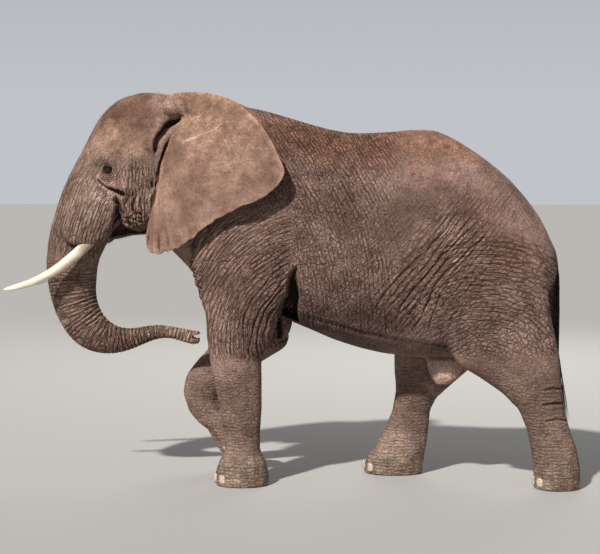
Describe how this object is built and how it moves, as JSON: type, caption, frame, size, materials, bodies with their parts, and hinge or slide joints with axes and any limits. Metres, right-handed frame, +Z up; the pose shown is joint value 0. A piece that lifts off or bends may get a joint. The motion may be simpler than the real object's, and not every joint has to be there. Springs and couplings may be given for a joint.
{
  "type": "african bush elephant bull, life-size still model",
  "caption": "Life-size still model of an adult African bush elephant bull walking, one forefoot lifted, trunk curled forward, tusks showing.",
  "frame": {"origin": "centre of the whole box in plan, on the ground under the feet", "axes": "+X towards the tail, so the head is at -X; +Y towards the animal's right side; +Z up"},
  "size_m": [4.9078, 1.2798, 3.3324],
  "materials": {
    "hide": "dry, deeply wrinkled grey-brown elephant hide with dust on the high places and dark creases",
    "ear_skin": "thin, smooth matt ear skin with faint veins, fine creases and tan dust",
    "ivory": "satin ivory, cream to pale brown with fine long cracks and a stained root",
    "eye": "wet dark brown eye",
    "toenail": "worn horn, dull and dusty, ridged lengthways",
    "hair": "stiff, thick black hair, slightly shiny"
  },
  "bodies": {
    "root": {"foreleg_left_foot": "hide", "foreleg_left_lower": "hide", "foreleg_left_upper": "hide", "foreleg_right_foot": "hide", "foreleg_right_lower": "hide", "foreleg_right_upper": "hide", "hindleg_left_foot": "hide", "hindleg_left_lower": "hide", "hindleg_left_upper": "hide", "hindleg_right_foot": "hide", "hindleg_right_lower": "hide", "hindleg_right_upper": "hide", "trunk_tip": "hide", "trunk_lower": "hide", "trunk_bend": "hide", "trunk_upper": "hide", "head": "hide", "neck": "hide", "chest": "hide", "belly": "hide", "rump": "hide", "lower_jaw": "hide", "prepuce": "hide", "tail": "hide", "tail_tuft": "hair", "ear_left": "ear_skin", "tusk_left": "ivory", "eye_left": "eye", "ear_right": "ear_skin", "tusk_right": "ivory", "eye_right": "eye", "nail_left_fore_1": "toenail", "nail_left_fore_2": "toenail", "nail_left_fore_3": "toenail", "nail_left_fore_4": "toenail", "nail_right_fore_1": "toenail", "nail_right_fore_2": "toenail", "nail_right_fore_3": "toenail", "nail_right_fore_4": "toenail", "nail_left_hind_1": "toenail", "nail_left_hind_2": "toenail", "nail_left_hind_3": "toenail", "nail_right_hind_1": "toenail", "nail_right_hind_2": "toenail", "nail_right_hind_3": "toenail"}
  },
  "joints": []
}
